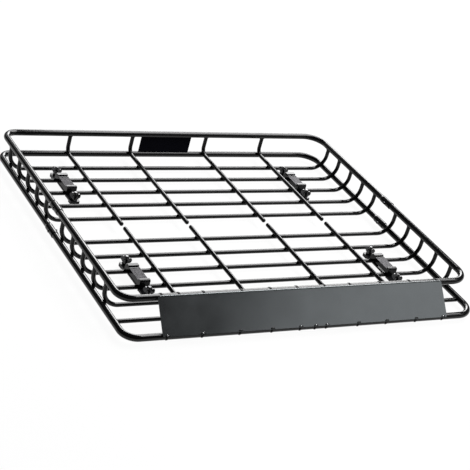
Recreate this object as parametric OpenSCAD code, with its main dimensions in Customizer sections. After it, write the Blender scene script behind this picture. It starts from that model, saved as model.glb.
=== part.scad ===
// Steel roof basket in two halves that plug together, with four bar clamps.
// X runs across the basket, Y runs to its rear, Z is up, millimetres.
// The origin is on the floor plane under the middle of the basket.

/* [Basket] */
// Overall width over the side rails
basket_w = 1169; // [900:1:1500]
// Overall length over the end rails
basket_l = 1007; // [800:1:1400]
// Rise from the lower rail to the upper rail, centre to centre
rail_rise = 73.6; // [62:0.2:120]
// How far the upper front rail stands back from the lower one
front_setback = 71.5; // [50:0.5:90]
// How far the upper rear rail stands in from the lower one
rear_inset = 3; // [0:0.5:4]
// Radius of the rails' left corners, at their centre line
left_corner = 40; // [30:1:75]
// Radius of the rails' right corners, at their centre line
right_corner = 60; // [30:1:75]
// Gap left where one piece seats on another
seat = 0.3; // [0.2:0.05:0.4]

/* [Rails] */
// Outside diameter of the rail tube
rail_d = 19.4; // [17:0.1:22]
// Wall of the rail tube
rail_wall = 1.4; // [1:0.1:2]
// Distance of the socket mouths behind the middle of the basket
socket_y = 12; // [6:1:26]
// Length of the widened socket at the ends of the rear half
socket_len = 46; // [36:1:50]
// Length of the taper from socket to tube
taper_len = 8; // [4:1:14]
// Clearance all round between a socket and the tube in it
socket_gap = 0.25; // [0.2:0.05:0.35]
// Length of front rail that goes into a socket
plug_len = 40; // [30:1:44]
// Diameter of the bolts that lock the sockets
lock_d = 5; // [4:0.5:6]
// Diameter of a lock bolt's domed head
lock_head_d = 9; // [8:0.5:12]
// Height of a lock bolt's domed head
lock_head_h = 1.8; // [1:0.1:3]
// Width over the corners of a lock bolt's nut
lock_nut_d = 9.2; // [8.6:0.2:12]
// Height of a lock bolt's nut
lock_nut_h = 3.2; // [2:0.2:5]

/* [Floor] */
// Diameter of the floor rods and risers
rod_d = 12.7; // [10:0.1:14]
// How far the crossing rods lie under the centre of the lower rail
rod_drop = 6; // [4:0.5:9]
// Place of the first rod of the rear half behind the middle
rear_first = 104; // [95:1:110]
// Distance of the last rod of the rear half from the rear rail
rear_margin = 85.8; // [75:0.2:110]
// Place of the first rod of the front half before the middle
front_first = 22; // [14:1:30]
// Distance of the last rod of the front half from the front rail
front_margin = 160.6; // [140:0.2:180]
// Distance of the straight bar from the front rail
straight_margin = 86.6; // [70:0.2:95]
// Distance of the outer lengthwise bars from the side rails
bar_margin = 222.8; // [190:0.2:250]
// Place of the inner lengthwise bars, as a share of the outer bars' place
bar_share = 0.3835; // [0.3:0.0005:0.5]
// Front ends of the rear lengthwise bars, behind the middle
rear_bar_end = 47; // [40:1:60]
// Rear ends of the front lengthwise bars, behind the middle
front_bar_end = 30; // [0:1:34]
// Rounding of the loose ends of the lengthwise bars
end_r = 4.8; // [2:0.1:5]

/* [Fairing] */
// Distance of the front plate's ends from the side rails, on average
fairing_margin = 107.8; // [80:0.2:130]
// How far the front plate is set to the left of the middle
fairing_left = 8; // [0:0.5:12]
// Thickness of the front plate
fairing_t = 1.5; // [1:0.1:3]
// Corner radius of the front plate
fairing_r = 5; // [3:0.5:20]
// How far the front plate laps past the lower rail's centre
fairing_lap = 4; // [0:0.5:6]
// How far the front plate stays short of the upper rail's centre
fairing_short = 0; // [0:0.5:8]
// Radius of the round hem along the front plate's upper edge
hem_r = 1.7; // [1.2:0.1:3]
// Thickness of the bands that hold the front plate to the rails
band_t = 1.2; // [1:0.1:2]
// Width of each band
band_w = 5; // [4:0.5:8]
// Length of a band's tab behind the front plate
band_tab = 14; // [8:1:20]
// Angle through which an upper band turns round its rail
band_turn = 160; // [120:5:170]
// Angle through which a lower band turns round its rail
low_turn = 85; // [60:5:170]

/* [Rear plate] */
// Width of the bare plate between the rear rails
plate_w = 182; // [120:1:230]
// Sideways place of the plate's centre
plate_x = -13; // [-15:1:0]
// Thickness of the plate
plate_t = 2; // [1:0.1:4]

/* [Clamps] */
// Distance of the rear left clamp outside the lengthwise bar beside it
clamp_rear_left = 81; // [36:0.5:100]
// Distance of the rear right clamp outside the lengthwise bar beside it
clamp_rear_right = 36; // [30:0.5:100]
// Distance of the front left clamp outside the lengthwise bar beside it
clamp_front_left = 68; // [36:0.5:100]
// Distance of the front right clamp outside the lengthwise bar beside it
clamp_front_right = 66; // [36:0.5:100]
// Distance of a clamp's bolts beyond the rods beside them
bolt_out = 39; // [36:0.5:44]
// How far a bolt's end stands out over the wings of its nut
bolt_show = 3.5; // [1:0.5:8]
// Diameter of the clamp bolts
bolt_d = 8; // [6:0.5:9]
// Clearance of a clamp bolt in its hole, on the diameter
bolt_play = 0.6; // [0.5:0.1:1]
// Height of a bolt's domed head
head_h = 3.5; // [2.5:0.1:5]
// Diameter of a bolt's domed head
head_d = 18; // [15:0.5:22]
// Width of the bracket's feet and of the lower plate's ends
foot_w = 30; // [26:1:40]
// Width of the lower plate between its ends
strap_w = 14; // [10:1:20]
// Thickness of the lower plate
foot_t = 4; // [3:0.5:6]
// How far lower plate and feet reach past the bolts
foot_end = 11; // [10.5:0.5:16]
// Corner radius of feet and of the lower plate's ends
foot_r = 4; // [2:0.5:8]
// Thickness of the bracket's feet
ear_t = 6; // [4:0.5:8]
// Width of the bracket's raised body
body_w = 32; // [26:1:34]
// Wall of the raised body
body_wall = 3; // [2:0.5:4]
// Height of the raised body over the rods
body_h = 15; // [12:0.1:22]
// Thickness of the raised body's end walls
leg_t = 3.5; // [3:0.5:6]
// Height of the nose at the body's front over its top
nose_h = 6; // [2:0.5:8]
// Length of the nose
nose_l = 11; // [8:0.5:20]
// Rounding of the nose and of the body's rear edge
nose_r = 5; // [2:0.5:6]
// Height of the low step at the body's rear over its top
step_low_h = 1; // [0.5:0.5:4]
// Length of the low step
step_low_l = 8; // [4:0.5:10]
// Height of the high step over the low one
step_high_h = 3.5; // [2:0.5:6]
// Length of the high step
step_high_l = 12; // [6:0.5:14]
// Distance of the high step from the body's rear face
step_back = 8; // [6:0.5:14]
// Height of a wing nut over the foot it stands on
wing_h = 22.5; // [20:0.5:28]
// Span over the two wings of a wing nut
wing_span = 33; // [30:1:40]
// Thickness of a wing
wing_t = 5; // [3:0.5:6]
// Radius of a wing's round end
wing_lobe = 7; // [5:0.5:8]

/* [Hidden] */
$fn = 64;

// Lengths that come from a root or an angle are held to a hundredth
function held(v) = round(v * 100) / 100;

rail_r = rail_d / 2;
rod_r = rod_d / 2;
// Half width and half length of the lower rail, at its centre line
half_w = (basket_w - rail_d) / 2;
half_l = (basket_l - rail_d) / 2;
top_rear = half_l - rear_inset;
top_front = half_l - front_setback;

// Levels from the floor plane up through a clamp to the rails
plate_top = head_h + seat + foot_t;
ear_bottom = plate_top + seat;
rod_z = ear_bottom + rod_r;
low_z = rod_z + rod_drop;
top_z = low_z + rail_rise;
bar_z = rod_z + rod_d + seat;
rod_top = rod_z + rod_r;

// A rod that seats against the lower rail lies this far from its centre
reach = rail_r + rod_r + seat;
// Bend radius of a rod lying h over the rail's centre that turns up beside the
// rail and rises in a plane that stands in from the rail's centre by e
function bend_r(h, e) =
    let (k = reach - h - e) held(k + sqrt(k * k + reach * reach - h * h - e * e));
cross_bend = bend_r(-rod_drop, 0);
long_bend = bend_r(bar_z - low_z, rear_inset);

rear_pitch = held((half_l - rear_margin - rear_first) / 4);
front_pitch = held((half_l - front_margin - front_first) / 4);
rear_rods = [for (i = [4:-1:0]) rear_first + i * rear_pitch];
front_rods = [for (i = [0:4]) -front_first - i * front_pitch];
straight_y = straight_margin - half_l;
bar_outer = half_w - bar_margin;
bar_inner = held(bar_outer * bar_share);
long_x = [-bar_outer, -bar_inner, bar_inner, bar_outer];

lock_y = socket_y + socket_len / 2;
socket_r = rail_r + socket_gap + rail_wall;

// Slope of the front plate, from the lower rail up to the upper one
slope_a = atan2(rail_rise, front_setback);
slope_len = held(sqrt(rail_rise * rail_rise + front_setback * front_setback));
fairing_off = rail_r + 2 * seat + band_t;
fairing_w = 2 * (half_w - fairing_margin);
// The bands are set by hand: their places as shares of half the plate's width
top_shares = [-0.97, -0.86, -0.7, -0.45, -0.255, -0.07, 0.125, 0.31, 0.535, 0.76, 0.97];
low_shares = [-0.97, -0.745, -0.5, -0.285, -0.09, 0.015, 0.095, 0.325, 0.535, 0.76, 0.97];

// A clamp is centred between two rods, and its body reaches over both
rear_clamp_y = (rear_rods[1] + rear_rods[2]) / 2;
front_clamp_y = (front_rods[2] + front_rods[3]) / 2;
rear_bolt = rear_pitch / 2 + bolt_out;
front_bolt = front_pitch / 2 + bolt_out;
rear_left_x = -bar_outer - clamp_rear_left;
rear_right_x = bar_outer + clamp_rear_right;
front_left_x = -bar_outer - clamp_front_left;
front_right_x = bar_outer + clamp_front_right;

// Solid bars along the three directions
module along_x(x0, x1, r) {
    translate([x0, 0, 0]) rotate([0, 90, 0]) cylinder(h = x1 - x0, r = r);
}
module along_y(y0, y1, r) {
    translate([0, y0, 0]) rotate([-90, 0, 0]) cylinder(h = y1 - y0, r = r);
}
module along_z(z0, z1, r) {
    translate([0, 0, z0]) cylinder(h = z1 - z0, r = r);
}

// Quarter bend in the XY plane, from +X round to +Y
module quarter(big, r) {
    rotate_extrude(angle = 90) translate([big, 0]) circle(r);
}

// Round bar of length l towards +Z, whose far end is rounded
module blunt_bar(l) {
    rotate_extrude() intersection() {
        union() {
            translate([rod_r - end_r, l - end_r]) circle(end_r);
            square([rod_r, l - end_r]);
            square([rod_r - end_r, l]);
        }
        square([rod_r, l]);
    }
}

// U of round bar that opens to -Y: its ends at y0, its closed side at y1
module u_bar(y0, y1, r) {
    for (s = [-1, 1]) {
        corner = s < 0 ? left_corner : right_corner;
        bend_y = y1 - corner;
        translate([s * half_w, bend_y, 0]) rotate([90, 0, 0]) cylinder(h = bend_y - y0, r = r);
        flip_x(s) translate([half_w - corner, bend_y, 0]) quarter(corner, r);
    }
    translate([0, y1, 0]) along_x(-half_w + left_corner, half_w - right_corner, r);
}
module flip_x(s) {
    if (s < 0) mirror([1, 0, 0]) children();
    else children();
}
module flip_y(s) {
    if (s < 0) mirror([0, 1, 0]) children();
    else children();
}

// Socket towards +Z from the mouth: a wide part, then a taper down to the tube
module socket(wide, narrow, from) {
    rotate_extrude() polygon([
        [0, from],
        [wide, from],
        [wide, socket_len],
        [narrow, socket_len + taper_len],
        [0, socket_len + taper_len]
    ]);
}

// Rear half rail: a hollow U whose two ends are widened to sockets
module rear_rail(z, y1) {
    bore = rail_r - rail_wall;
    color("#26282b") translate([0, 0, z]) difference() {
        union() {
            u_bar(socket_y + socket_len, y1, rail_r);
            for (s = [-1, 1]) translate([s * half_w, socket_y, 0]) rotate([-90, 0, 0])
                socket(socket_r, rail_r, 0);
        }
        u_bar(socket_y + socket_len, y1, bore);
        for (s = [-1, 1]) translate([s * half_w, socket_y, 0]) {
            rotate([-90, 0, 0]) socket(rail_r + socket_gap, bore, -1);
            translate([0, socket_len / 2, 0])
                along_x(-socket_r - 2, socket_r + 2, (lock_d + seat) / 2);
        }
    }
}

// Front half rail: a plain hollow U whose two ends plug into the sockets
module front_rail(z, y1) {
    plug = socket_y + plug_len;
    color("#26282b") translate([0, 0, z]) difference() {
        mirror([0, 1, 0]) u_bar(-plug, y1, rail_r);
        mirror([0, 1, 0]) u_bar(-plug - 1, y1, rail_r - rail_wall);
        for (s = [-1, 1]) translate([s * half_w, lock_y, 0])
            along_x(-rail_r - 2, rail_r + 2, (lock_d + seat) / 2);
    }
}

module rear_top_rail() rear_rail(top_z, top_rear);
module front_top_rail() front_rail(top_z, top_front);
module rear_bottom_rail() rear_rail(low_z, half_l);
module front_bottom_rail() front_rail(low_z, half_l);

// Floor rod that turns up at both sides, seats against the lower side rails
// and ends in a saddle cut under the upper ones
module crossbar(y) {
    color("#2b2d30") translate([0, y, 0]) difference() {
        union() {
            translate([0, 0, rod_z]) along_x(-half_w + cross_bend, half_w - cross_bend, rod_r);
            for (s = [-1, 1]) flip_x(s) {
                translate([half_w - cross_bend, 0, rod_z + cross_bend])
                    rotate([90, 0, 0]) rotate([0, 0, -90]) quarter(cross_bend, rod_r);
                translate([half_w, 0, 0]) along_z(rod_z + cross_bend, top_z, rod_r);
            }
        }
        for (s = [-1, 1]) translate([s * half_w, 0, top_z]) along_y(-rod_d, rod_d, rail_r + seat);
    }
}

// Straight rod between the lower side rails, under the upper front rail
module front_straight_bar() {
    color("#2b2d30") translate([0, straight_y, 0]) difference() {
        translate([0, 0, rod_z]) along_x(-half_w + 4, half_w - 4, rod_r);
        for (s = [-1, 1]) translate([s * half_w, 0, low_z]) along_y(-rod_d, rod_d, rail_r + seat);
    }
}

// Lengthwise bar of the rear half, which turns up at the rear rails. It is
// drawn from its side: to the rear is +X, up is +Y.
module rear_long_bar(x) {
    run = top_rear - long_bend;
    color("#232528") translate([x, 0, 0]) rotate([90, 0, 90]) difference() {
        union() {
            translate([run, bar_z, 0]) rotate([0, -90, 0]) blunt_bar(run - rear_bar_end);
            translate([run, bar_z + long_bend, 0]) rotate([0, 0, -90]) quarter(long_bend, rod_r);
            translate([top_rear, 0, 0]) along_y(bar_z + long_bend, top_z, rod_r);
        }
        translate([top_rear, top_z, 0]) along_z(-rod_d, rod_d, rail_r + seat);
    }
}

// Lengthwise bar of the front half, which ends on the lower front rail
module front_long_bar(x) {
    color("#232528") translate([x, -half_l, 0]) difference() {
        translate([0, 2, bar_z]) rotate([-90, 0, 0]) blunt_bar(half_l + front_bar_end - 2);
        translate([0, 0, low_z]) along_x(-rod_d, rod_d, rail_r + seat);
    }
}

// Struts that carry the upper front rail on the lengthwise bars
module front_struts() {
    color("#26282b") for (x = long_x) translate([x, -top_front, 0]) difference() {
        along_z(bar_z, top_z, rod_r);
        translate([0, 0, bar_z]) along_y(-rod_d, rod_d, rod_r + seat);
        translate([0, 0, top_z]) along_x(-rod_d, rod_d, rail_r + seat);
    }
}

// Frame of the front plate: Y up the slope from the lower rail, Z outwards
module on_slope() {
    translate([0, -half_l, low_z]) rotate([slope_a, 0, 0]) children();
}

// Flat plate with four round corners
module round_plate(x0, x1, y0, y1, r, t) {
    linear_extrude(t) {
        translate([x0 + r, y0]) square([x1 - x0 - 2 * r, y1 - y0]);
        translate([x0, y0 + r]) square([x1 - x0, y1 - y0 - 2 * r]);
        for (x = [x0 + r, x1 - r]) for (y = [y0 + r, y1 - r]) translate([x, y]) circle(r);
    }
}

// Sloping front plate with a round hem along its upper edge
module fairing() {
    edge = slope_len - fairing_short;
    run = fairing_w / 2 - fairing_r;
    color("#55595c") on_slope() translate([-fairing_left, 0, fairing_off]) {
        round_plate(-fairing_w / 2, fairing_w / 2, -fairing_lap, edge, fairing_r, fairing_t);
        translate([0, edge, fairing_t / 4 + hem_r]) along_x(-run, run, hem_r);
    }
}

// Part of a ring from angle a0 to angle a1, each within a half turn
module ring_part(r0, r1, a0, a1) {
    far = 2 * r1;
    mid = (a0 + a1) / 2;
    intersection() {
        difference() {
            circle(r1);
            circle(r0);
        }
        polygon([
            [0, 0],
            [far * cos(a0), far * sin(a0)],
            [far * cos((a0 + mid) / 2), far * sin((a0 + mid) / 2)],
            [far * cos(mid), far * sin(mid)],
            [far * cos((a1 + mid) / 2), far * sin((a1 + mid) / 2)],
            [far * cos(a1), far * sin(a1)]
        ]);
    }
}

// Hook band seen along the rail: its tab lies flat behind the plate to +X and
// its hook turns over the rail from there
module band(turn) {
    r0 = rail_r + seat;
    rotate([90, 0, 90]) translate([0, 0, -band_w / 2]) linear_extrude(band_w) {
        ring_part(r0, r0 + band_t, 90, 90 + turn);
        translate([-0.01, r0]) square([band_tab, band_t]);
    }
}

module fairing_bands_bottom() {
    color("#1d1e20") on_slope() for (k = low_shares)
        translate([k * fairing_w / 2 - fairing_left, 0, 0]) band(low_turn);
}

module fairing_bands_top() {
    color("#1d1e20") on_slope() for (k = top_shares)
        translate([k * fairing_w / 2 - fairing_left, slope_len, 0])
            mirror([0, 1, 0]) band(band_turn);
}

// Bare plate between the two rear rails
module rear_plate() {
    z0 = low_z + rail_r + seat;
    z1 = top_z - rail_r - seat;
    color("#0e0f14") translate([plate_x - plate_w / 2, top_rear - plate_t, z0])
        cube([plate_w, plate_t, z1 - z0]);
}

// Bolt through a socket, its domed head outside and its nut inside
module lock_bolt(s) {
    over = socket_r + seat;
    rim = lock_head_h / 3;
    flip_x(s) rotate([0, 90, 0]) {
        along_z(-over - lock_nut_h, over + rim, lock_d / 2);
        translate([0, 0, over]) cylinder(h = rim, r = lock_head_d / 2);
        translate([0, 0, over + rim])
            cylinder(h = lock_head_h - rim, r1 = lock_head_d / 2, r2 = lock_head_d / 3.6);
        translate([0, 0, -over - lock_nut_h])
            cylinder(h = lock_nut_h, r = lock_nut_d / 2, $fn = 6);
    }
}

module rail_lock_bolts() {
    color("#3a3c3f") for (s = [-1, 1]) for (z = [low_z, top_z])
        translate([s * half_w, lock_y, z]) lock_bolt(s);
}

// Flat foot of a bracket from y0 to y1, round-cornered and bored at y
module foot(y0, y1, y, t) {
    difference() {
        round_plate(-foot_w / 2, foot_w / 2, y0, y1, foot_r, t);
        translate([0, y, -1]) cylinder(h = t + 2, r = (bolt_d + bolt_play) / 2);
    }
}

// Lower plate of a clamp: a narrow strap with a bored end under each foot
module clamp_plate(x, y, bolt) {
    inner = bolt - foot_end;
    color("#2c2d30") translate([x, y, plate_top - foot_t]) difference() {
        union() {
            for (s = [-1, 1]) flip_y(s)
                round_plate(-foot_w / 2, foot_w / 2, inner, bolt + foot_end, foot_r, foot_t);
            translate([-strap_w / 2, -inner - foot_r, 0]) cube([strap_w, 2 * (inner + foot_r), foot_t]);
        }
        for (s = [-1, 1]) translate([0, s * bolt, -1])
            cylinder(h = foot_t + 2, r = (bolt_d + bolt_play) / 2);
    }
}

// Side view of a clamp's raised body from low up: a rounded nose at the front,
// a flat top and two steps at the rear
module body_side(out, low, top) {
    nose = top + nose_h;
    high_end = out - step_back;
    low_end = high_end - step_high_l;
    translate([-out, low]) square([2 * out, top - nose_r - low]);
    translate([-out, low]) square([2 * out - nose_r, top - low]);
    translate([out - nose_r, top - nose_r]) circle(nose_r);
    translate([-out, low]) square([nose_l, nose - nose_r - low]);
    translate([-out + nose_r, low]) square([nose_l - nose_r, nose - low]);
    translate([-out + nose_r, nose - nose_r]) circle(nose_r);
    translate([low_end - step_low_l, low]) square([step_low_l + step_high_l, top + step_low_h - low]);
    translate([low_end, low]) square([step_high_l, top + step_low_h + step_high_h - low]);
}

// Upper bracket of a clamp: a hollow raised body over two rods, whose end walls
// go down outside the rods to two bored feet
module clamp_bracket(x, y, pitch, bolt) {
    leg_in = pitch / 2 + rod_r + seat;
    leg_out = leg_in + leg_t;
    body_z = rod_top + body_h;
    color("#3c3d40") translate([x, y, 0]) {
        difference() {
            translate([-body_w / 2, 0, 0]) rotate([90, 0, 90]) linear_extrude(body_w)
                body_side(leg_out, ear_bottom, body_z);
            translate([-body_w / 2 + body_wall, -leg_in, ear_bottom - 1])
                cube([body_w - 2 * body_wall, 2 * leg_in, body_z - body_wall - ear_bottom + 1]);
            translate([-body_w, -leg_in, ear_bottom - 1])
                cube([2 * body_w, 2 * leg_in, rod_top + seat - ear_bottom + 1]);
        }
        for (s = [-1, 1]) translate([0, 0, ear_bottom]) flip_y(s) {
            foot(leg_in, bolt + foot_end, bolt, ear_t);
            translate([-foot_w / 2, leg_in, 0]) cube([foot_w, leg_t + foot_r, ear_t]);
        }
    }
}

// Bolt of a clamp, its domed head down and its shank up through the wing nut
module clamp_bolt() {
    top = ear_bottom + ear_t + seat + wing_h + bolt_show;
    along_z(1, top, bolt_d / 2);
    translate([0, 0, head_h - 1]) cylinder(h = 1, r = head_d / 2);
    translate([0, 0, 0]) cylinder(h = head_h - 1, r1 = head_d / 4, r2 = head_d / 2);
}

module clamp_bolts(x, y, bolt) {
    color("#55585c") for (s = [-1, 1]) translate([x, y + s * bolt, 0]) clamp_bolt();
}

// Wing nut: a bored hub with a collar, and two rounded wings that rise from it
module wing_nut(turn) {
    lobe = wing_lobe;
    reach_x = wing_span / 2 - lobe;
    rotate(turn) difference() {
        union() {
            cylinder(h = 3, r = bolt_d / 2 + 5);
            cylinder(h = wing_h - 8, r1 = bolt_d / 2 + 4, r2 = bolt_d / 2 + 2.5);
            for (s = [-1, 1]) flip_x(s) translate([0, wing_t / 2, 0])
                rotate([90, 0, 0]) linear_extrude(wing_t) {
                    translate([reach_x, wing_h - lobe]) circle(lobe);
                    polygon([
                        [bolt_d / 2 + 1, 4],
                        [bolt_d / 2 + 4, 3],
                        [reach_x + lobe * 0.94, wing_h - lobe - lobe * 0.34],
                        [reach_x - lobe * 0.7, wing_h - lobe + lobe * 0.7],
                        [bolt_d / 2 + 1, wing_h - 9]
                    ]);
                }
        }
        translate([0, 0, -1]) cylinder(h = wing_h + 2, r = bolt_d / 2 + 0.15);
    }
}

module wing_nuts(x, y, bolt, turn) {
    color("#4a4c50") for (s = [-1, 1])
        translate([x, y + s * bolt, ear_bottom + ear_t + seat]) wing_nut(turn - 6 * s);
}

rear_top_rail();
front_top_rail();
rear_bottom_rail();
front_bottom_rail();
crossbar(rear_rods[0]);  // rear_crossbar_1
crossbar(rear_rods[1]);  // rear_crossbar_2
crossbar(rear_rods[2]);  // rear_crossbar_3
crossbar(rear_rods[3]);  // rear_crossbar_4
crossbar(rear_rods[4]);  // rear_crossbar_5
crossbar(front_rods[0]);  // front_crossbar_1
crossbar(front_rods[1]);  // front_crossbar_2
crossbar(front_rods[2]);  // front_crossbar_3
crossbar(front_rods[3]);  // front_crossbar_4
crossbar(front_rods[4]);  // front_crossbar_5
front_straight_bar();
rear_long_bar(long_x[0]);  // rear_long_bar_1
rear_long_bar(long_x[1]);  // rear_long_bar_2
rear_long_bar(long_x[2]);  // rear_long_bar_3
rear_long_bar(long_x[3]);  // rear_long_bar_4
front_long_bar(long_x[0]);  // front_long_bar_1
front_long_bar(long_x[1]);  // front_long_bar_2
front_long_bar(long_x[2]);  // front_long_bar_3
front_long_bar(long_x[3]);  // front_long_bar_4
front_struts();
fairing();
fairing_bands_top();
fairing_bands_bottom();
rear_plate();
rail_lock_bolts();
clamp_bracket(rear_left_x, rear_clamp_y, rear_pitch, rear_bolt);  // clamp_bracket_rear_left
clamp_bracket(rear_right_x, rear_clamp_y, rear_pitch, rear_bolt);  // clamp_bracket_rear_right
clamp_bracket(front_left_x, front_clamp_y, front_pitch, front_bolt);  // clamp_bracket_front_left
clamp_bracket(front_right_x, front_clamp_y, front_pitch, front_bolt);  // clamp_bracket_front_right
clamp_plate(rear_left_x, rear_clamp_y, rear_bolt);  // clamp_plate_rear_left
clamp_plate(rear_right_x, rear_clamp_y, rear_bolt);  // clamp_plate_rear_right
clamp_plate(front_left_x, front_clamp_y, front_bolt);  // clamp_plate_front_left
clamp_plate(front_right_x, front_clamp_y, front_bolt);  // clamp_plate_front_right
clamp_bolts(rear_left_x, rear_clamp_y, rear_bolt);  // clamp_bolts_rear_left
clamp_bolts(rear_right_x, rear_clamp_y, rear_bolt);  // clamp_bolts_rear_right
clamp_bolts(front_left_x, front_clamp_y, front_bolt);  // clamp_bolts_front_left
clamp_bolts(front_right_x, front_clamp_y, front_bolt);  // clamp_bolts_front_right
wing_nuts(rear_left_x, rear_clamp_y, rear_bolt, -42);  // wing_nuts_rear_left
wing_nuts(rear_right_x, rear_clamp_y, rear_bolt, -52);  // wing_nuts_rear_right
wing_nuts(front_left_x, front_clamp_y, front_bolt, -40);  // wing_nuts_front_left
wing_nuts(front_right_x, front_clamp_y, front_bolt, -58);  // wing_nuts_front_right
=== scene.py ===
import math

import bpy
import bmesh
from mathutils import Matrix, Vector


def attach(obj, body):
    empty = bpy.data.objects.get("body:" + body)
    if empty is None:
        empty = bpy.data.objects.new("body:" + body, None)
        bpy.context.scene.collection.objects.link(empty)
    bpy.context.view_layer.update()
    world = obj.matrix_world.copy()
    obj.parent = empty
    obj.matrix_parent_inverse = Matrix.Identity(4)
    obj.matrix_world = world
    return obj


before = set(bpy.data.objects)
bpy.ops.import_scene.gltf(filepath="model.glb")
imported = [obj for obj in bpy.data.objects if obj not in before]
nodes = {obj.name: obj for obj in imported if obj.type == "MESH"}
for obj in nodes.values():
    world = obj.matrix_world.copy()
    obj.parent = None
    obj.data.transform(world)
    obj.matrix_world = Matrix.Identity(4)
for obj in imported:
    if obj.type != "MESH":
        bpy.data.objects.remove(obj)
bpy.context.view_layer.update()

# The pieces are drawn in millimetres; floor, lamps and camera stand in metres
MM = 0.001
X, Y, Z = Vector((1, 0, 0)), Vector((0, 1, 0)), Vector((0, 0, 1))


# Places read from the frame

def box(name):
    """Low and high corner of a CAD node, in millimetres."""
    ob = nodes[name]
    points = [ob.matrix_world @ v.co / MM for v in ob.data.vertices]
    return [Vector([pick(p[i] for p in points) for i in range(3)]) for pick in (min, max)]


def middle(name):
    low, high = box(name)
    return 0.5 * (low + high)


# Radii of the rails and of the floor's rods, and the gap where pieces seat, as in the part's source
RAIL_R, ROD_R = 9.7, 6.35
SEAT = 0.3

rear_rods = [middle(name).y for name in nodes if name.startswith("rear_crossbar")]
front_rods = [middle(name).y for name in nodes if name.startswith("front_crossbar")]
straight_y = middle("front_straight_bar").y
long_x = [middle(name).x for name in nodes if name.startswith("rear_long_bar")]

# Centre lines of rods, lengthwise bars and rails
low_rail, low_rail_end = box("front_bottom_rail")
top_rail = box("front_top_rail")[0]
rod_z = box("front_straight_bar")[0].z + ROD_R
bar_z = box("front_long_bar_1")[0].z + ROD_R
low_z = low_rail.z + RAIL_R
top_z = top_rail.z + RAIL_R
half_w = low_rail_end.x - RAIL_R
low_front_y = low_rail.y + RAIL_R
top_front_y = top_rail.y + RAIL_R
top_rear_y = box("rear_top_rail")[1].y - RAIL_R


# Shader parts

def principled(name):
    m = bpy.data.materials.new(name)
    m.use_nodes = True
    t = m.node_tree
    return m, t, t.nodes["Principled BSDF"]


def part_place(t):
    """Object coordinates, which are the part's own frame in metres."""
    return t.nodes.new("ShaderNodeTexCoord").outputs["Object"]


def noise(t, cells, detail, rough=0.55):
    """Noise with so many cells in a metre of the part."""
    n = t.nodes.new("ShaderNodeTexNoise")
    n.inputs["Scale"].default_value = cells
    n.inputs["Detail"].default_value = detail
    n.inputs["Roughness"].default_value = rough
    t.links.new(part_place(t), n.inputs["Vector"])
    return n.outputs["Fac"]


def ramp(t, fac, low, high, a, b):
    """Fac from low to high becomes colour a to colour b."""
    r = t.nodes.new("ShaderNodeValToRGB")
    r.color_ramp.elements[0].position = low
    r.color_ramp.elements[1].position = high
    r.color_ramp.elements[0].color = (*a, 1.0)
    r.color_ramp.elements[1].color = (*b, 1.0)
    t.links.new(fac, r.inputs["Fac"])
    return r.outputs["Color"]


def span(t, fac, low, high, a, b):
    """Fac from low to high becomes a number from a to b."""
    r = t.nodes.new("ShaderNodeMapRange")
    r.inputs["From Min"].default_value = low
    r.inputs["From Max"].default_value = high
    r.inputs["To Min"].default_value = a
    r.inputs["To Max"].default_value = b
    t.links.new(fac, r.inputs["Value"])
    return r.outputs["Result"]


def combine(t, operation, a, b):
    """Math node on two values, each a socket or a number."""
    n = t.nodes.new("ShaderNodeMath")
    n.operation = operation
    for socket, value in zip(n.inputs, (a, b)):
        if isinstance(value, float):
            socket.default_value = value
        else:
            t.links.new(value, socket)
    return n.outputs[0]


def bump(t, bsdf, height, strength, distance):
    """Bump of a height; distance is in millimetres."""
    b = t.nodes.new("ShaderNodeBump")
    b.inputs["Strength"].default_value = strength
    b.inputs["Distance"].default_value = distance * MM
    t.links.new(height, b.inputs["Height"])
    t.links.new(b.outputs["Normal"], bsdf.inputs["Normal"])


def height_mask(t, low, high):
    """1 where the part's own height lies between low and high, in millimetres."""
    xyz = t.nodes.new("ShaderNodeSeparateXYZ")
    t.links.new(part_place(t), xyz.inputs["Vector"])
    over = combine(t, "GREATER_THAN", xyz.outputs["Z"], low * MM)
    under = combine(t, "LESS_THAN", xyz.outputs["Z"], high * MM)
    return combine(t, "MULTIPLY", over, under)


# Materials

# Cells in a metre of a coat's slow clouds and of its orange peel
CLOUD, PEEL = 9.0, 900.0


def powder_coat(name, dark, light, rough, grain, spec=0.5, tint=(1.0, 1.0, 1.0)):
    """Baked powder coat: near black, a fine orange peel and a slowly changing gloss; its lighter cloudy
    patches are painted sheen.
    """
    m, t, s = principled(name)
    cloud = noise(t, CLOUD, detail=4.0)
    # The cloud runs from the dark colour to the lighter one, whose patches are painted sheen
    t.links.new(ramp(t, cloud, 0.35, 0.7, dark, light), s.inputs["Base Color"])
    t.links.new(span(t, cloud, 0.3, 0.7, rough - 0.04, rough + 0.05), s.inputs["Roughness"])
    s.inputs["Specular IOR Level"].default_value = spec
    s.inputs["Specular Tint"].default_value = (*tint, 1.0)
    bump(t, s, noise(t, PEEL, detail=2.0), strength=grain, distance=0.4)
    return m


# Heights between which a clamp's flat top lies, and the cells in a metre of its speckles and clouds
TOP_FROM, TOP_TO = 35.3, 36.2
SPECKLE, MOULD_CLOUD = 430.0, 60.0


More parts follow.
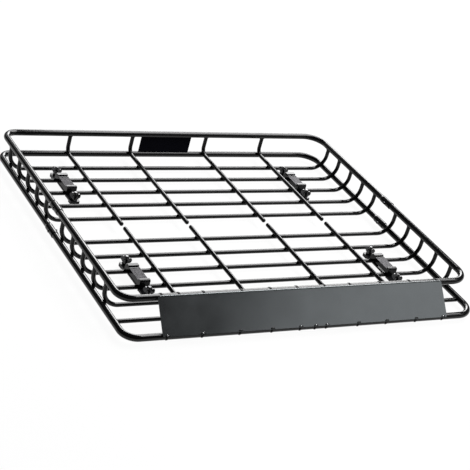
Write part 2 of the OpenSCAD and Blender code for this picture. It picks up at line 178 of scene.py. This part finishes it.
def clamp_coat(name):
    """Glossy black moulding; the flat top between nose and steps is coarse and speckled."""
    m, t, s = principled(name)
    grain = noise(t, SPECKLE, detail=5.0, rough=0.7)
    top = height_mask(t, TOP_FROM, TOP_TO)
    speckle = ramp(t, grain, 0.36, 0.66, (0.01, 0.01, 0.011), (0.19, 0.185, 0.195))
    cloud = noise(t, MOULD_CLOUD, detail=3.0)
    plain = ramp(t, cloud, 0.3, 0.7, (0.004, 0.004, 0.005), (0.009, 0.009, 0.01))
    mix = t.nodes.new("ShaderNodeMix")
    mix.data_type = "RGBA"
    t.links.new(top, mix.inputs["Factor"])
    t.links.new(plain, mix.inputs["A"])
    t.links.new(speckle, mix.inputs["B"])
    t.links.new(mix.outputs["Result"], s.inputs["Base Color"])
    t.links.new(span(t, top, 0.0, 1.0, 0.18, 0.75), s.inputs["Roughness"])
    s.inputs["Specular IOR Level"].default_value = 0.3
    s.inputs["IOR"].default_value = 1.3
    bump(t, s, grain, strength=0.08, distance=0.5)
    return m


# Cells in a metre of the zinc's clouds, and how dark the darkest are beside the base colour
ZINC_CLOUD, ZINC_DARK = 140.0, 0.55


def zinc(name, base, rough):
    """Plated steel with a satin, slightly cloudy face."""
    m, t, s = principled(name)
    cloud = noise(t, ZINC_CLOUD, detail=4.0)
    dark = tuple(c * ZINC_DARK for c in base)
    t.links.new(ramp(t, cloud, 0.3, 0.7, dark, base), s.inputs["Base Color"])
    t.links.new(span(t, cloud, 0.3, 0.7, rough - 0.06, rough + 0.1), s.inputs["Roughness"])
    s.inputs["Metallic"].default_value = 1.0
    bump(t, s, cloud, strength=0.15, distance=0.5)
    return m


# Darkest and lightest colours of the coats that several pieces share; the lightest colour is painted
# sheen on the coats' cloudy patches
BLACK, BLACK_PAINTED_SHEEN = (0.002, 0.002, 0.0024), (0.005, 0.005, 0.0055)
SOOT, SOOT_PAINTED_SHEEN = (0.003, 0.003, 0.003), (0.006, 0.006, 0.006)
mats = {
    "rail": powder_coat("rail_coat", BLACK, BLACK_PAINTED_SHEEN, rough=0.12, grain=0.03, spec=0.27),
    "rod": powder_coat("rod_coat", BLACK, BLACK_PAINTED_SHEEN, rough=0.1, grain=0.02, spec=0.23),
    "bar": powder_coat("bar_coat", BLACK, (0.004, 0.004, 0.0048), rough=0.15, grain=0.03, spec=0.2),
    "fairing": powder_coat("fairing_coat", (0.015, 0.015, 0.0153), (0.019, 0.019, 0.0193),
                           rough=0.22, grain=0.03, spec=1.0, tint=(0.88, 0.96, 1.0)),
    "plate": powder_coat("plate_coat", (0.0015, 0.0015, 0.004), (0.003, 0.003, 0.007),
                         rough=0.5, grain=0.05, spec=0.03),
    "band": powder_coat("band_coat", SOOT, SOOT_PAINTED_SHEEN, rough=0.5, grain=0.08, spec=0.12),
    "weld": powder_coat("weld_coat", (0.002, 0.002, 0.0025), (0.005, 0.005, 0.006),
                        rough=0.35, grain=0.3, spec=0.15),
    "clip_screw": powder_coat("clip_screw_coat", SOOT, SOOT_PAINTED_SHEEN, rough=0.2, grain=0.05),
    "clamp": clamp_coat("clamp_coat"),
    "bolt": zinc("dark_bolt", (0.05, 0.05, 0.052), rough=0.35),
    "nut": zinc("nut_steel", (0.055, 0.055, 0.057), rough=0.14),
    "bright": zinc("bright_zinc", (0.62, 0.63, 0.65), rough=0.25),
}

# Material of each CAD node, by the first of these that its name holds
KINDS = (("clamp_bracket", "clamp"), ("clamp_plate", "clamp"), ("clamp_bolts", "nut"),
         ("wing_nuts", "nut"), ("lock_bolts", "bolt"), ("fairing_bands", "band"),
         ("fairing", "fairing"), ("rear_plate", "plate"), ("crossbar", "rod"),
         ("straight_bar", "rod"), ("long_bar", "bar"), ("struts", "bar"), ("rail", "rail"))

for name, ob in nodes.items():
    ob.data.materials.clear()
    ob.data.materials.append(mats[next(mat for word, mat in KINDS if word in name)])


# Shapes of the added pieces

def add_piece(name, mat, bm):
    me = bpy.data.meshes.new(name)
    bmesh.ops.recalc_face_normals(bm, faces=bm.faces)
    bm.to_mesh(me)
    bm.free()
    for face in me.polygons:
        face.use_smooth = True
    ob = bpy.data.objects.new(name, me)
    bpy.context.scene.collection.objects.link(ob)
    me.materials.append(mats[mat])
    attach(ob, "root")


def circle(count):
    """Angles of a full turn in equal steps."""
    return [2.0 * math.pi * k / count for k in range(count)]


def ring(bm, centre, u, v, radius, sides):
    """Points of a circle in the plane of the directions u and v."""
    points = [centre + (u * math.cos(a) + v * math.sin(a)) * radius for a in circle(sides)]
    return [bm.verts.new(p * MM) for p in points]


def skin(bm, rings):
    """Faces between each ring and the next."""
    n = len(rings[0])
    for a, b in zip(rings, rings[1:]):
        for k in range(n):
            bm.faces.new((a[k], a[(k + 1) % n], b[(k + 1) % n], b[k]))


# Angle by which a bead's ripple moves on from one point of its path to the next
RIPPLE_STEP = 2.4


def sweep(bm, path, radius, across, closed=True, sides=8, ripple=0.0):
    """Round bead along a path in millimetres; across is a direction roughly square to it."""
    rings = []
    last = len(path) - 1
    for i, p in enumerate(path):
        before = path[i - 1] if closed or i > 0 else p
        after = path[(i + 1) % len(path)] if closed or i < last else p
        along = (after - before).normalized()
        u = (across - along * across.dot(along)).normalized()
        r = radius * (1.0 + ripple * math.sin(RIPPLE_STEP * i))
        rings.append(ring(bm, p, u, along.cross(u), r, sides))
    if closed:
        skin(bm, rings + rings[:1])
    else:
        skin(bm, rings)
        bm.faces.new(rings[0])
        bm.faces.new(rings[-1])


# A bead where tubes cross and its reach from the spot where they touch, and a bead round a tube's end
SADDLE_R, SADDLE_REACH = 1.9, 5.2
END_R = 1.5
SADDLE_STEPS, END_STEPS = 24, 28
SADDLE_RIPPLE, END_RIPPLE = 0.12, 0.1


def saddle_bead(bm, centre, out, side, r_under, r_over):
    """Bead midway between two crossing tubes; out points to the upper one, which runs along side."""
    cross = out.cross(side)
    path = []
    for a in circle(SADDLE_STEPS):
        u, v = SADDLE_REACH * math.cos(a), SADDLE_REACH * math.sin(a)
        over, under = 0.5 * v * v / r_over, -0.5 * u * u / r_under
        path.append(centre + side * u + cross * v + out * 0.5 * (over + under))
    sweep(bm, path, SADDLE_R, out, ripple=SADDLE_RIPPLE)


def end_bead(bm, centre, axis, side, r_rail):
    """Bead round a rod's end on a tube; axis points to that tube's centre, side lies across the tube."""
    cross = axis.cross(side)
    path = []
    for a in circle(END_STEPS):
        u, v = ROD_R * math.cos(a), ROD_R * math.sin(a)
        below = math.sqrt(max(r_rail * r_rail - u * u, 0.0))
        path.append(centre + side * u + cross * v - axis * below)
    sweep(bm, path, END_R, axis, ripple=END_RIPPLE)


# Weld beads

def floor_welds(half, rods):
    """Beads where the lengthwise bars lie on the rods."""
    bm = bmesh.new()
    for x in long_x:
        for y in rods:
            saddle_bead(bm, Vector((x, y, 0.5 * (rod_z + bar_z))), Z, Y, ROD_R, ROD_R)
    add_piece("floor_welds_" + half, "weld", bm)


def rail_welds(half, rods):
    """Beads where the bent rods seat against the lower side rails and end under the upper ones."""
    drop = low_z - rod_z
    reach = RAIL_R + ROD_R + SEAT
    bend = drop + reach + math.sqrt(2.0 * reach * (drop + reach))
    slant = Vector((bend, 0.0, drop - bend)).normalized()
    low, top = bmesh.new(), bmesh.new()
    for s in (-1.0, 1.0):
        out = Vector((s * slant.x, 0.0, slant.z))
        for y in rods:
            rail = Vector((s * half_w, y, low_z))
            saddle_bead(low, rail - out * (RAIL_R + 0.5 * SEAT), out, Y, ROD_R, RAIL_R)
            end_bead(top, Vector((s * half_w, y, top_z)), Z, X, RAIL_R)
    add_piece("low_rail_welds_" + half, "weld", low)
    add_piece("top_rail_welds_" + half, "weld", top)


def riser_welds():
    """Beads at the tops of the rear risers and at both ends of the front struts."""
    bm = bmesh.new()
    for x in long_x:
        end_bead(bm, Vector((x, top_rear_y, top_z)), Z, Y, RAIL_R)
        end_bead(bm, Vector((x, top_front_y, top_z)), Z, Y, RAIL_R)
        end_bead(bm, Vector((x, top_front_y, bar_z)), -Z, X, ROD_R)
    add_piece("riser_welds", "weld", bm)


floor_welds("rear", rear_rods)
floor_welds("front", front_rods + [straight_y])
rail_welds("rear", rear_rods)
rail_welds("front", front_rods)
riser_welds()


# Clips and screws along the front plate's lower edge

# The plate's slope runs from the lower front rail up to the upper one
slope_start = Vector((0.0, low_front_y, low_z))
slope_up = (Vector((0.0, top_front_y, top_z)) - slope_start).normalized()
slope_out = Vector((0.0, -slope_up.z, slope_up.y))
# Height of the plate's outer face over the rails' centres, and the clips' lower edge along the slope
FACE, CLIP_LOW = 13.0, -3.0
CLIP_W, CLIP_H, CLIP_T = 14.0, 4.8, 0.9
# How deep a clip's foot sinks into the plate, which is also the width of the clip's bevel
CLIP_EDGE = 0.3
# Share of a clip's height at which the point lies that its bevel leans towards
CLIP_HEART = 0.4
CLIP_STEPS = 12
# A screw's place up the slope, its foot over the plate's face, and its radius and height
SCREW_UP, SCREW_FOOT, SCREW_R, SCREW_H = -0.6, 0.8, 1.9, 1.1
SCREW_RINGS, SCREW_SIDES = 6, 18
# Places of the lower bands as shares of half the plate's width, and those whose screw is bright zinc as a
# painted glint while the rest are black
LOW_CLIPS = (-0.97, -0.745, -0.5, -0.285, -0.09, 0.015, 0.095, 0.325, 0.535, 0.76, 0.97)
PAINTED_GLINT_CLIPS = (-0.97, -0.745, -0.09, 0.015, 0.095, 0.97)


def on_slope(x, up, out):
    return slope_start + X * x + slope_up * up + slope_out * out


def tab(bm, x):
    """Half-round clip that stands on the plate's lower edge."""
    outline = []
    for k in range(CLIP_STEPS + 1):
        a = math.pi * k / CLIP_STEPS
        outline.append((x + 0.5 * CLIP_W * math.cos(a), CLIP_LOW + CLIP_H * math.sin(a)))
    rings = []
    top = FACE + CLIP_T
    for inset, out in ((0.0, FACE - CLIP_EDGE), (0.0, top - CLIP_EDGE), (CLIP_EDGE, top)):
        points = []
        for px, up in outline:
            inward = Vector((x - px, CLIP_LOW + CLIP_HEART * CLIP_H - up)).normalized() * inset
            points.append(bm.verts.new(on_slope(px + inward.x, up + inward.y, out) * MM))
        rings.append(points)
    skin(bm, rings)
    bm.faces.new(rings[0])
    bm.faces.new(rings[-1])


def dome(bm, centre, axis, side):
    """Low round screw head, drawn as rings of a flattened ball."""
    cross = axis.cross(side)
    rings = []
    for j in range(SCREW_RINGS):
        t = 0.5 * math.pi * j / SCREW_RINGS
        level = centre + axis * SCREW_H * math.sin(t)
        rings.append(ring(bm, level, side, cross, SCREW_R * math.cos(t), SCREW_SIDES))
    skin(bm, rings)
    tip = bm.verts.new((centre + axis * SCREW_H) * MM)
    last = rings[-1]
    for k in range(SCREW_SIDES):
        bm.faces.new((last[k], last[(k + 1) % SCREW_SIDES], tip))
    bm.faces.new(rings[0])


def edge_fittings():
    low, high = box("fairing")
    clips, black, bright = bmesh.new(), bmesh.new(), bmesh.new()
    for share in LOW_CLIPS:
        x = 0.5 * (low.x + high.x) + share * 0.5 * (high.x - low.x)
        tab(clips, x)
        # Screws at the glint places are bright zinc, a painted glint; the others are black
        screws = bright if share in PAINTED_GLINT_CLIPS else black
        dome(screws, on_slope(x, SCREW_UP, FACE + SCREW_FOOT), slope_out, X)
    add_piece("edge_clips", "band", clips)
    add_piece("edge_screws_black", "clip_screw", black)
    add_piece("edge_screws_painted_glint", "bright", bright)


edge_fittings()


# Threads on the ends of the clamp bolts, above the wing nuts

THREAD_LOW, THREAD_TOP, PITCH = 29.4, 39.6, 1.25
THREAD_R, RIDGE_R = 4.0, 0.4
TURN_STEPS, RIDGE_SIDES = 16, 6
# Distance of a clamp's bolts beyond the rods beside them, as in the part's source
BOLT_OUT = 39.0


def thread(bm, x, y):
    """Helix round an upright bolt."""
    path = []
    for k in range(int((THREAD_TOP - THREAD_LOW) / PITCH * TURN_STEPS)):
        a = 2.0 * math.pi * k / TURN_STEPS
        path.append(Vector((x + THREAD_R * math.cos(a), y + THREAD_R * math.sin(a),
                            THREAD_LOW + PITCH * k / TURN_STEPS)))
    sweep(bm, path, RIDGE_R, Z, closed=False, sides=RIDGE_SIDES)


for half, rods in (("rear", rear_rods), ("front", front_rods)):
    for side in ("left", "right"):
        clamp = half + "_" + side
        centre = middle("clamp_bolts_" + clamp)
        bolt_y = 0.5 * (rods[0] - rods[1]) + BOLT_OUT
        bm = bmesh.new()
        for s in (-1.0, 1.0):
            thread(bm, centre.x, centre.y + s * bolt_y)
        add_piece("thread_" + clamp, "nut", bm)


# Floor

FLOOR_BASE, FLOOR_WHITE = 0.05, 0.95
FLOOR_HALF, FLOOR_DROP = 20.0, 0.5 * MM


def floor_material():
    """Dull floor that the camera, gloss and glass see as white, and that lights nothing else."""
    m, t, s = principled("floor_white")
    s.inputs["Base Color"].default_value = (FLOOR_BASE, FLOOR_BASE, FLOOR_BASE, 1.0)
    s.inputs["Roughness"].default_value = 1.0
    s.inputs["Specular IOR Level"].default_value = 0.0
    path = t.nodes.new("ShaderNodeLightPath")
    seen = path.outputs["Is Camera Ray"]
    for ray in ("Is Glossy Ray", "Is Transmission Ray"):
        seen = combine(t, "MAXIMUM", seen, path.outputs[ray])
    s.inputs["Emission Color"].default_value = (1.0, 1.0, 1.0, 1.0)
    t.links.new(combine(t, "MULTIPLY", seen, FLOOR_WHITE), s.inputs["Emission Strength"])
    return m


def add_floor():
    bm = bmesh.new()
    bmesh.ops.create_grid(bm, x_segments=1, y_segments=1, size=FLOOR_HALF)
    me = bpy.data.meshes.new("floor")
    bm.to_mesh(me)
    bm.free()
    floor = bpy.data.objects.new("floor", me)
    bpy.context.scene.collection.objects.link(floor)
    floor.location = (0.0, 0.0, -FLOOR_DROP)
    floor.data.materials.append(floor_material())


add_floor()


# Lamps, world and camera

def panel(name, place, width, depth, radiance, tilt=(0.0, 0.0, 0.0)):
    """Soft rectangular lamp that faces down unless tilted; radiance is what a mirror shows of it."""
    d = bpy.data.lights.new(name, "AREA")
    d.shape = "RECTANGLE"
    d.size = width
    d.size_y = depth
    d.energy = radiance * math.pi * width * depth
    o = bpy.data.objects.new(name, d)
    bpy.context.scene.collection.objects.link(o)
    o.location = place
    o.rotation_euler = tilt


# Stands upright behind the basket and faces it
UPRIGHT = (-math.pi / 2, 0.0, 0.0)
panel("key", (1.95, 0.6, 3.0), width=2.2, depth=3.2, radiance=11.5)
panel("back", (-0.3, 4.2, 2.5), width=3.0, depth=2.2, radiance=1.0, tilt=UPRIGHT)
panel("front", (3.6, -2.6, 3.0), width=2.9, depth=2.2, radiance=1.9)
panel("rear", (2.9, 4.2, 2.5), width=3.4, depth=2.2, radiance=12.0, tilt=UPRIGHT)

WORLD_LEVEL = 0.08
world = bpy.data.worlds.new("studio")
bpy.context.scene.world = world
world.use_nodes = True
background = world.node_tree.nodes["Background"]
background.inputs["Color"].default_value = (1.0, 1.0, 1.0, 1.0)
background.inputs["Strength"].default_value = WORLD_LEVEL


# Camera, as fitted to the photograph: place, turn about the upright, tilt up from straight down, and roll

CAM_PLACE = Vector((-2.10226, -2.98590, 1.89313))
CAM_TURN, CAM_TILT, CAM_ROLL = (math.radians(a) for a in (-35.27204, 62.76307, 16.22271))
SENSOR, LENS, CLIP_END = 36.0, 104.48, 100.0


def add_camera():
    data = bpy.data.cameras.new("camera")
    data.sensor_width = SENSOR
    data.lens = LENS
    data.clip_end = CLIP_END
    cam = bpy.data.objects.new("camera", data)
    bpy.context.scene.collection.objects.link(cam)
    aim = Matrix.Rotation(CAM_TURN, 4, "Z") @ Matrix.Rotation(CAM_TILT, 4, "X")
    cam.matrix_world = Matrix.Translation(CAM_PLACE) @ aim @ Matrix.Rotation(CAM_ROLL, 4, "Z")
    bpy.context.scene.camera = cam


add_camera()
bpy.context.scene.view_settings.view_transform = "Standard"
